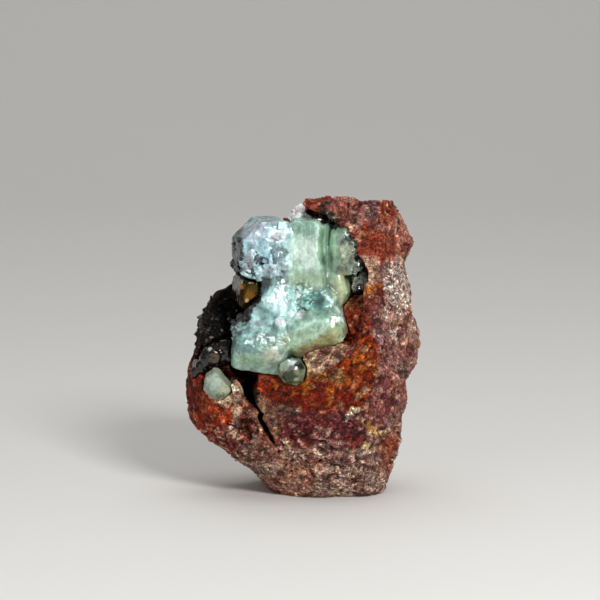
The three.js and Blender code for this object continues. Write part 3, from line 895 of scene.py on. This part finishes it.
# Clouds, stains, painted shade and painted highlights in the crystals, as for the rock
CRYSTAL_PATCHES = (
    # the white crystal: its grey top, white and lilac clouds, painted shade in the hollows between its lumps
    # and below it, and a painted shaded strip down its left side
    (270, 219, 16, 5, 0, (136, 150, 150), 0.8),
    (254, 232, 14, 10, -20, (186, 198, 212), 0.8),
    (278, 236, 8, 8, 0, (240, 248, 250), 0.9),
    (279, 253, 9, 7, 10, (118, 140, 146), 0.75),
    (274, 258, 3, 3, 0, (92, 112, 118), 0.8),
    (262, 262, 5, 4, 30, (92, 110, 118), 0.85),
    (257, 258, 3, 4, 0, (96, 112, 118), 0.8),
    (250, 262, 5, 12, 0, (204, 214, 220), 0.7),
    (276, 271, 11, 5, 0, (192, 210, 216), 0.7),
    (252, 273, 4, 3, 0, (58, 84, 82), 0.9),
    (239, 254, 4, 17, 0, (30, 34, 36), 0.9),
    (265, 284, 8, 6, -20, (70, 94, 96), 0.85),
    # the green prism: its dark top, pale middle, dark edge and lighter right side
    (304, 226, 14, 9, 0, (130, 168, 148), 0.8),
    (305, 254, 12, 15, 0, (222, 244, 230), 0.9),
    (306, 279, 20, 7, 0, (162, 188, 160), 0.7),
    (321, 246, 4, 18, 0, (112, 148, 116), 0.8),
    (331, 246, 6, 18, 0, (140, 178, 150), 0.7),
    (347, 252, 9, 14, 0, (150, 160, 134), 0.7),
    (344, 232, 6, 6, 30, (120, 150, 134), 0.7),
    (350, 240, 2, 6, -30, (40, 46, 42), 0.8),
    (340, 290, 9, 14, -20, (182, 192, 156), 0.7),
    # the lower lumps: the white peak with a painted lit core, the teal crystal with a painted highlight
    # along its right edge, the brightest spots, which are painted highlights, and painted shade beside the
    # brown crystal
    (275, 298, 12, 14, 0, (170, 208, 206), 0.8),
    (278, 305, 8, 9, 0, (200, 230, 230), 0.8),
    (301, 298, 9, 12, 0, (180, 220, 210), 0.9),
    (320, 301, 12, 10, 0, (112, 160, 150), 0.9),
    (316, 300, 9, 8, -20, (76, 124, 116), 0.85),
    (320, 314, 9, 5, 20, (134, 174, 154), 0.8),
    (335, 327, 8, 6, -30, (158, 176, 134), 0.85),
    (333, 303, 17, 1.6, 47, (228, 240, 238), 0.8),
    (281, 322, 7, 5, 0, (244, 254, 252), 0.9),
    (291, 313, 3, 4, 0, (244, 254, 252), 0.9),
    (301, 315, 4, 4, 0, (244, 254, 252), 0.9),
    (340, 319, 4, 3, 0, (244, 254, 252), 0.9),
    (258, 322, 9, 6, 0, (160, 186, 186), 0.8),
    (251, 306, 14, 5, 127, (26, 26, 24), 0.9),
    (244, 316, 7, 6, -20, (20, 22, 22), 0.95),
    (234, 320, 5, 6, 0, (34, 38, 34), 0.85),
    (238, 330, 7, 5, 0, (128, 150, 148), 0.8),
    # the lowest faces: teal, green, cream and olive
    (246, 346, 13, 8, 0, (108, 150, 144), 0.9),
    (252, 361, 16, 5, 8, (136, 168, 136), 0.8),
    (272, 356, 11, 8, 0, (180, 186, 164), 0.8),
    (305, 336, 20, 8, -20, (164, 194, 168), 0.8),
    (318, 344, 26, 6, -25, (172, 168, 116), 0.85),
    (346, 334, 3, 9, 0, (140, 124, 86), 0.8),
    (310, 351, 12, 4, -25, (136, 114, 84), 0.7),
)

# Hollows in the white crystal and, with a depth below 0, a lump beside the peak: places as for the patches,
# and the depth in mm
CRYSTAL_HOLLOWS = (
    (262, 262, 4, 4, 30, 0.7),
    (257, 257, 3, 3, 0, 0.5),
    (279, 253, 8, 6, 0, 0.3),
    (252, 273, 4, 4, 0, 0.8),
    (303, 297, 6, 12, 0, -0.7),
)

# Where black crystals sit on the cluster, in the picture's pixels: the middle, the reach and the turn
BLACK_TOP = (
    (327, 220, 9, 5, 15),
    (338, 226, 5, 3, 40),
    (350, 238, 2, 5, -35),
    (356, 254, 2, 8, 0),
)

# The white crystal's left face, painted dark as shade: its colour and place
SHADED_LEFT_FACE = (34, 40, 44)
SHADED_LEFT_FACE_AT = ((-7.5, -8.2), (28, 29))

# Between these heights, in mm, small crystals on the frosted faces begin
GRAINS_ABOVE = (21.4, 22.2)

# A zone's colour counts as three values, beside its four numbers
ZONE_VALUES = 7


def crystal_zones(points):
    """The colour and the other numbers of the zones at each point, blended between the crystals."""
    total = np.full(len(points), 1e-9)
    values = np.zeros((len(points), ZONE_VALUES))
    for at, reach, colour, *numbers in CRYSTAL_ZONES:
        far = (((points - np.array(at)) / np.array(reach)) ** 2).sum(axis=1)
        weight = 1 / (0.02 + far) ** 3
        total += weight
        values += weight[:, None] * np.array((*colour, *numbers))
    values /= total[:, None]
    return values[:, :3], *values[:, 3:].T


def cluster_height(points, frost, front):
    """How far the crystals' faces move out, in mm: rough where they are frosted, else faintly lined."""
    rough = 0.2 * facets(points, 1.0, 31) + 0.12 * facets(points, 0.5, 33) + 0.2 * layers(points, 2.4, 35, 2)
    drawn_out = points / np.array((0.4, 0.4, 6.0))
    lined = 0.03 * noise(drawn_out, 1.0, 41) + 0.05 * layers(points, 2.6, 43, 2)
    height = frost ** 1.4 * rough + (1 - frost) * lined
    uneven = warp(points, 0.9, 0.6, 127, 3)
    for mask, (*_, sunk) in zip(masks(uneven, CRYSTAL_HOLLOWS, 0.5), CRYSTAL_HOLLOWS):
        height -= sunk * mask * front
    return height


def cluster_tint(tint, points, normals, front, shade):
    """The crystals' colour: the zones' tint with its patches, painted shade on the white crystal's left
    face, and mottling, darker in hollows and lighter on bumps as painted shade and light.
    """
    tint = paint_patches(tint, warp(points, 1.4, 0.35, 131, 3), CRYSTAL_PATCHES, front, 0.16)
    # Painted shade on the white crystal's left face
    shaded_left_face = smooth(-0.5, -0.8, normals[:, 0]) * within(points, *SHADED_LEFT_FACE_AT)
    tint = paint(tint, 0.75 * shaded_left_face, SHADED_LEFT_FACE)
    return linear(np.clip(tint * np.clip(shade, 0.3, 1.4)[:, None], 0, 255))


def make_cluster(adamite, druse):
    cluster = voxel_copy("adamite_cluster", "crystals", CRYSTAL_VOXEL)
    mesh = cluster.data
    points, _ = points_of(mesh)
    tint, frost, milk, soft, mottle = crystal_zones(warp(points, 1.6, 0.5, 1, 2))
    move_points(mesh, soften(mesh, points, 0.6 * soft, 24))
    points, normals = points_of(mesh)
    front = smooth(0.35, -0.05, normals[:, 1])
    frost = np.clip(frost + 0.45 * layers(points, 2.2, 29, 3), 0, 1)
    milk = np.clip(milk + 0.4 * layers(points, 1.5, 47, 4), 0, 1)
    moved = points + normals * cluster_height(points, frost, front)[:, None]
    # How deep each point sits in a hollow or how far it stands on a bump, which darkens or lightens its
    # colour as painted shade and light
    hollow_shade = 2.2 * hollows(mesh, moved, normals, 4) + 0.6 * hollows(mesh, moved, normals, 20)
    move_points(mesh, moved)
    shade = 1 + mottle * layers(points, 1.1, 137, 4) + hollow_shade
    tint = cluster_tint(tint, points, normals, front, shade)
    store_adamite(mesh, tint, frost, milk)
    shade_smooth(mesh)
    finish_piece(cluster, adamite, "adamite", "adamite_cluster")

    frosted = smooth(0.5, 0.95, frost) * smooth(0.2, -0.2, normals[:, 1])
    frosted = frosted * smooth(*GRAINS_ABOVE, points[:, 2])
    make_crystal_grains(moved, normals, frosted, tint, milk, adamite)
    make_black_druse(moved, normals, strongest(points, BLACK_TOP) * front, druse)


def make_crystal_grains(points, normals, share, tint, milk, adamite):
    """Small smooth crystals on the frosted faces, with the colours under them."""
    grains, sites = scatter("crystal_grains", points, normals, share, *CRYSTAL_GRAINS)
    store_adamite(grains.data, tint[sites], np.zeros(len(sites)), milk[sites])
    finish_piece(grains, adamite, "adamite")


def make_black_druse(points, normals, share, druse):
    """Small black crystals on the cluster's upper right edge."""
    piece, _ = scatter("black_druse", points, normals, share, *BLACK_DRUSE)
    finish_piece(piece, druse, "smoky_adamite")


def make_single(node, voxel, slot, wobble, look):
    """A crystal beside the cluster, with slightly uneven faces."""
    crystal = voxel_copy(node, node + "_visual", voxel)
    mesh = crystal.data
    points, _ = points_of(mesh)
    move_points(mesh, soften(mesh, points, np.full(len(points), 0.5), 2))
    points, normals = points_of(mesh)
    height = wobble * (layers(points, 1.1, 51, 2) + 0.5 * facets(points, 0.9, 53))
    move_points(mesh, points + normals * height[:, None])
    shade_smooth(mesh)
    finish_piece(crystal, clear_material(node, **look), slot, node)


# Clouds, painted glints, painted highlights and painted shade in the crystals beside the cluster: the middle
# and the reach in mm, and the colour
SMOKY_SPOTS = (
    ((-11.6, -7.3, 18.7), 0.6, (92, 74, 44)),
    # a painted glint
    ((-12.2, -7.3, 19.9), 0.3, (196, 206, 206)),
    ((-11.2, -7.3, 17.4), 0.35, (120, 126, 122)),
)
CLEAR_SPOTS = (
    ((-2.2, -11.6, 18.4), 1.1, (176, 192, 168)),
    ((-1.2, -11.5, 19.0), 0.8, (208, 222, 212)),
    ((-0.2, -11.8, 18.2), 0.7, (36, 40, 40)),
    ((-1.3, -11.9, 17.8), 0.45, (112, 120, 120)),
    ((-1.6, -11.8, 16.7), 0.9, (58, 66, 44)),
    ((-0.6, -11.7, 16.1), 0.45, (150, 160, 128)),
    # a painted glint
    ((-0.7, -11.9, 17.8), 0.25, (250, 250, 250)),
)
RIGHT_CLEAR_SPOTS = (
    ((7.3, -7.6, 30.0), 0.6, (22, 22, 20)),
    ((6.9, -7.6, 29.1), 0.5, (196, 202, 190)),
    ((7.5, -7.6, 27.6), 0.8, (18, 18, 16)),
)
BROWN_SPOTS = (
    ((-6.8, -8.2, 28.3), 1.0, (46, 40, 14)),
    ((-6.9, -8.2, 27.0), 0.8, (112, 70, 10)),
    # a painted highlight on the upper left edge
    ((-8.3, -8.0, 29.0), 0.6, (224, 212, 172)),
    ((-8.0, -8.1, 28.2), 0.4, (190, 110, 10)),
    # a painted glint
    ((-7.2, -8.2, 26.3), 0.3, (190, 168, 100)),
)
GREEN_SPOTS = (
    ((-11.6, -11.1, 15.9), 1.1, (176, 194, 178)),
    ((-9.9, -11.1, 15.0), 0.9, (166, 174, 146)),
    # darker below and to the right: olive colour and painted shade
    ((-10.7, -11.1, 13.7), 0.8, (112, 116, 90)),
    ((-9.5, -11.0, 15.1), 0.5, (108, 104, 76)),
)

# The crystals beside the cluster: the cells of the fine mesh and the unevenness of the faces in mm,
# the record's slot, and the look as clear_material takes it
SINGLES = {
    "smoky_crystals": dict(
        voxel=0.12, slot="smoky_adamite", wobble=0.08,
        look=dict(
            inside=SMOKE, density=SMOKE_DENSITY, clear=(0.3, 0.7), veil=(34, 26, 18), spots=SMOKY_SPOTS,
        ),
    ),
    "clear_crystal": dict(
        voxel=0.1, slot="clear_adamite", wobble=0.11,
        look=dict(
            inside=(214, 224, 212), density=90, clear=(0.05, 0.5), veil=(120, 128, 98), spots=CLEAR_SPOTS,
            cloud=1.2,
        ),
    ),
    "right_clear_crystal": dict(
        voxel=0.1, slot="clear_adamite", wobble=0.14,
        look=dict(
            inside=(206, 216, 204), density=110, clear=(0.4, 0.9), veil=(176, 180, 166),
            spots=RIGHT_CLEAR_SPOTS,
        ),
    ),
    "brown_crystal": dict(
        voxel=0.12, slot="brown_adamite", wobble=0.05,
        look=dict(
            inside=(226, 150, 50), density=500, clear=(0.1, 0.45), veil=(40, 24, 6), spots=BROWN_SPOTS,
            shine=(1, 0.7, 0.3),
        ),
    ),
    "small_green_crystal": dict(
        voxel=0.12, slot="adamite", wobble=0.08,
        look=dict(
            inside=(196, 206, 168), density=160, clear=(0.05, 0.35), veil=(150, 160, 140), spots=GREEN_SPOTS,
            cloud=1.6, rough=0.25,
        ),
    ),
}


# The set

def make_floor():
    turns = np.linspace(0, math.pi / 2, SWEEP_STEPS)
    curve = np.column_stack((SWEEP_START + SWEEP_RADIUS * np.sin(turns), SWEEP_RADIUS * (1 - np.cos(turns))))
    outline = np.vstack(((-FLOOR_REACH, 0), curve, (curve[-1, 0], FLOOR_REACH)))
    sides = [(x, y, z) for x in (-FLOOR_REACH, FLOOR_REACH) for y, z in outline]
    rows = len(outline)
    mesh = bpy.data.meshes.new("floor")
    mesh.from_pydata(sides, [], [(i, i + rows, i + rows + 1, i + 1) for i in range(rows - 1)])
    shade_smooth(mesh)
    floor = bpy.data.objects.new("floor", mesh)
    bpy.context.scene.collection.objects.link(floor)
    m = Nodes("floor")
    m.set(Base_Color=(*linear(FLOOR_COLOUR), 1), Roughness=0.6)
    mesh.materials.append(m.material)


def make_lights():
    world = bpy.data.worlds.new("studio")
    bpy.context.scene.world = world
    world.use_nodes = True
    background = world.node_tree.nodes["Background"]
    background.inputs["Color"].default_value = SKY
    background.inputs["Strength"].default_value = SKY_STRENGTH
    for name, (at, size, power) in LIGHTS.items():
        lamp = bpy.data.lights.new(name, "AREA")
        lamp.size = size * MM
        lamp.energy = power
        light = bpy.data.objects.new(name, lamp)
        light.location = Vector(at) * MM
        light.rotation_euler = (AIM - light.location).to_track_quat("-Z", "Y").to_euler()
        bpy.context.scene.collection.objects.link(light)


def make_camera():
    camera = bpy.data.cameras.new("camera")
    camera.lens = LENS
    camera.sensor_width = SENSOR
    camera.clip_start = CLIP_START
    eye = bpy.data.objects.new("camera", camera)
    eye.location = AIM + DISTANCE * Vector((0, -math.cos(ELEVATION), math.sin(ELEVATION)))
    eye.rotation_euler = (AIM - eye.location).to_track_quat("-Z", "Y").to_euler()
    bpy.context.scene.collection.objects.link(eye)
    bpy.context.scene.camera = eye
    bpy.context.scene.view_settings.view_transform = "Standard"


make_floor()
make_lights()
make_camera()
adamite = adamite_material()
druse = clear_material("dark_druse", SMOKE, SMOKE_DENSITY, clear=(0.1, 0.5), veil=(30, 30, 28), rough=0.1)
make_cluster(adamite, druse)
make_rock(adamite, druse)
for node, single in SINGLES.items():
    make_single(node, **single)
